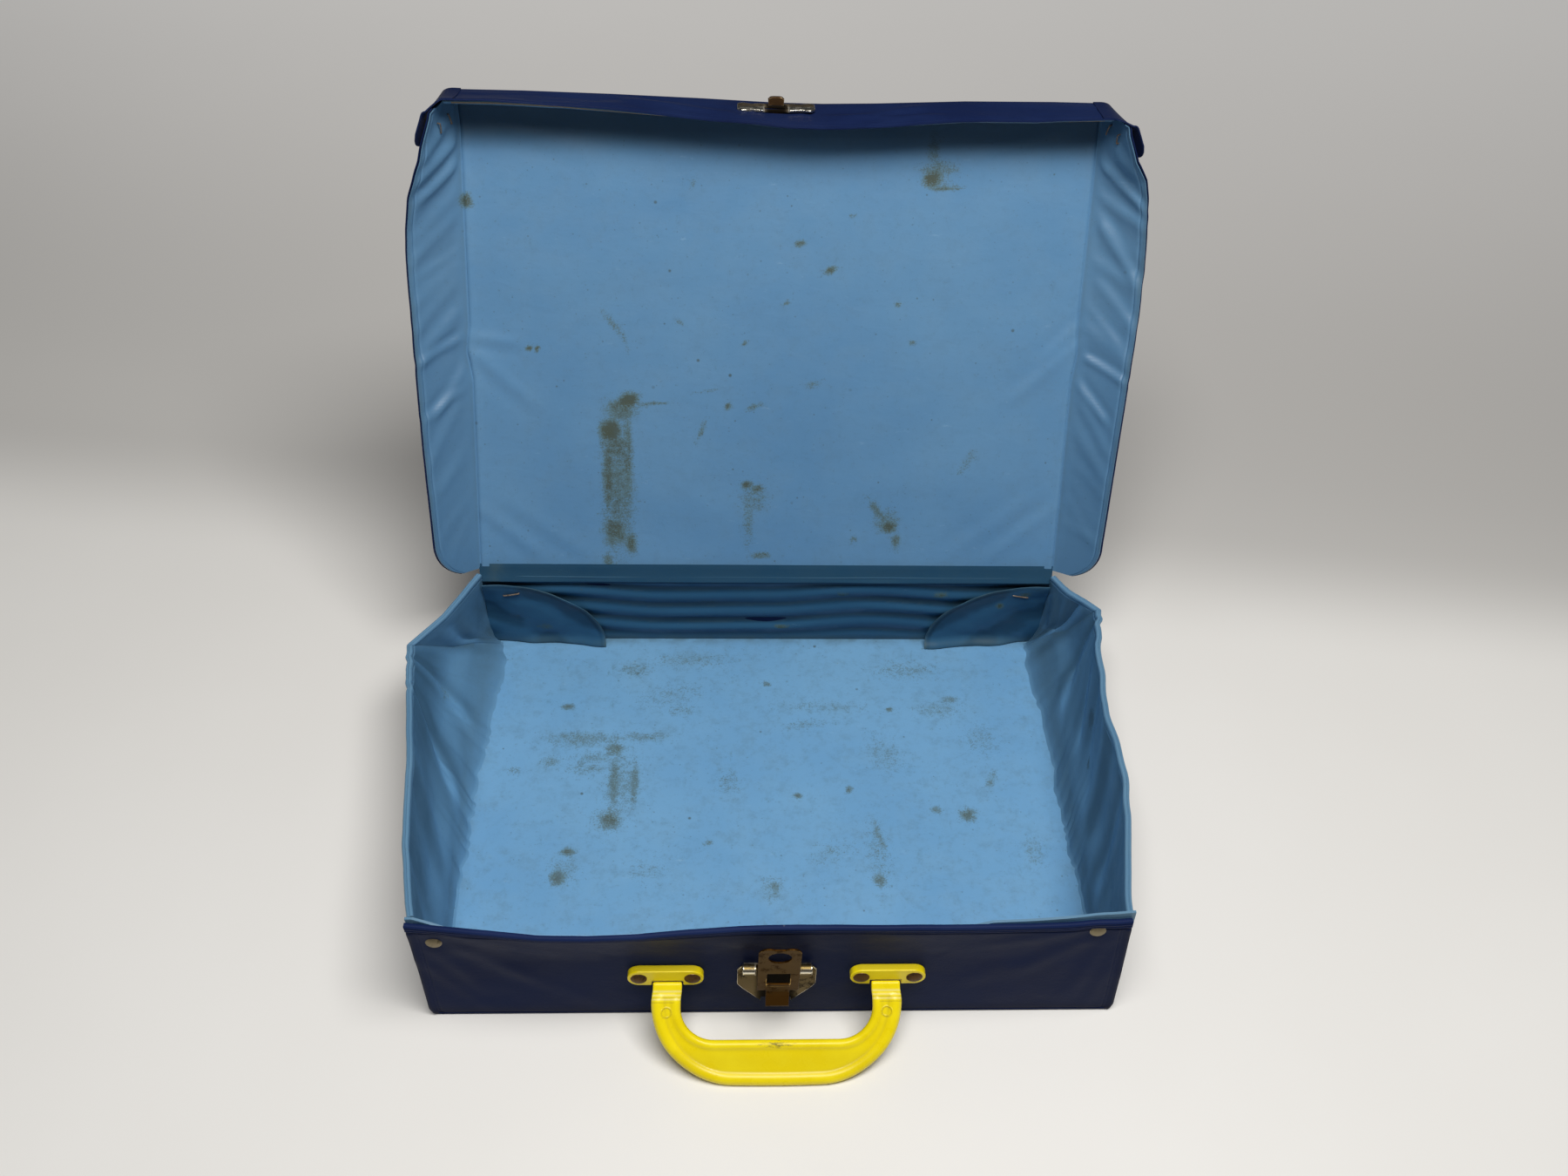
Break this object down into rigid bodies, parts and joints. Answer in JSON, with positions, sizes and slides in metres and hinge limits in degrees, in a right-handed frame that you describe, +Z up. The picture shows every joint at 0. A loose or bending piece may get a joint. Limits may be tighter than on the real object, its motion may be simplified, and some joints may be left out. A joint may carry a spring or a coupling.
{
  "type": "vinyl game case",
  "caption": "Shallow vinyl-over-card carrying case for a boxed tabletop game, hinged lid standing open, folding plastic handle and pressed metal latch.",
  "frame": {"origin": "centre of the tray's flat underside, at table height", "axes": "+X to the right seen from the latch side, +Y towards the hinge, +Z up"},
  "size_m": [0.3468, 0.3553, 0.2767],
  "materials": {
    "navy_vinyl": "soft calendered vinyl with a satin sheen and shallow creases",
    "blue_vinyl": "soft vinyl lining, satin, creased and stained",
    "card": "grey-brown stiffening card, hidden between the vinyl sheets",
    "yellow_plastic": "moulded yellow plastic, semi-gloss, scuffed",
    "rivet_brass": "dull domed rivet heads",
    "rivet_bronze": "brown tarnished rivet heads",
    "worn_nickel": "worn nickel plating over brass",
    "latch_brass": "dark brown tarnished brass with bright worn edges",
    "staple_steel": "thin steel wire, slightly rusted"
  },
  "bodies": {
    "tray": {"floor_skin": "navy_vinyl", "floor_board": "card", "floor_lining": "blue_vinyl", "front_wall_skin": "navy_vinyl", "front_wall_board": "card", "front_wall_lining": "blue_vinyl", "front_rim": "navy_vinyl", "left_wall_skin": "navy_vinyl", "left_wall_board": "card", "left_wall_lining": "blue_vinyl", "left_rim": "blue_vinyl", "right_wall_skin": "navy_vinyl", "right_wall_board": "card", "right_wall_lining": "blue_vinyl", "right_rim": "blue_vinyl", "rear_wall_skin": "navy_vinyl", "rear_wall_lining": "blue_vinyl", "left_rear_flap": "blue_vinyl", "right_rear_flap": "blue_vinyl", "hinge_welt": "blue_vinyl", "corner_rivets": "rivet_brass", "rear_staples": "staple_steel", "handle_tab_left": "yellow_plastic", "handle_tab_right": "yellow_plastic", "handle_rivets": "rivet_bronze", "latch_plate": "worn_nickel", "latch_pin": "worn_nickel"},
    "lid": {"lid_skin": "navy_vinyl", "lid_board": "card", "lid_lining": "blue_vinyl", "lip_skin": "navy_vinyl", "lip_board": "card", "lip_lining": "blue_vinyl", "strike_plate": "worn_nickel", "strike_nose": "latch_brass"},
    "left_flange": {"left_flange_skin": "navy_vinyl", "left_flange_lining": "blue_vinyl", "left_corner_flap": "navy_vinyl", "left_lid_staples": "staple_steel"},
    "right_flange": {"right_flange_skin": "navy_vinyl", "right_flange_lining": "blue_vinyl", "right_corner_flap": "navy_vinyl", "right_lid_staples": "staple_steel"},
    "handle": {"handle_grip": "yellow_plastic"},
    "tongue": {"latch_tongue": "latch_brass"}
  },
  "joints": [
    {"name": "lid_hinge", "type": "hinge", "parent": "tray", "child": "lid", "pos_m": [0, 0.1095, 0.0555], "axis": [1, 0, 0], "range_deg": [-40, 108.5]},
    {"name": "left_flange_fold", "type": "hinge", "parent": "lid", "child": "left_flange", "pos_m": [-0.1532, 0.11073, 0.05495], "axis": [0, 0.4067, 0.9135], "range_deg": [-17, 45]},
    {"name": "right_flange_fold", "type": "hinge", "parent": "lid", "child": "right_flange", "pos_m": [0.1532, 0.11073, 0.05495], "axis": [0, 0.4067, 0.9135], "range_deg": [-45, 17]},
    {"name": "handle_fold", "type": "hinge", "parent": "tray", "child": "handle", "pos_m": [0, -0.1176, 0.0312], "axis": [1, 0, 0], "range_deg": [-90, 0]},
    {"name": "tongue_pivot", "type": "hinge", "parent": "tray", "child": "tongue", "pos_m": [0, -0.1168, 0.0415], "axis": [1, 0, 0], "range_deg": [-7.3, 15]}
  ],
  "couplings": [
    {"joint": "left_flange_fold", "follows": "lid_hinge", "ratio": 0.4147},
    {"joint": "right_flange_fold", "follows": "lid_hinge", "ratio": -0.4147}
  ]
}
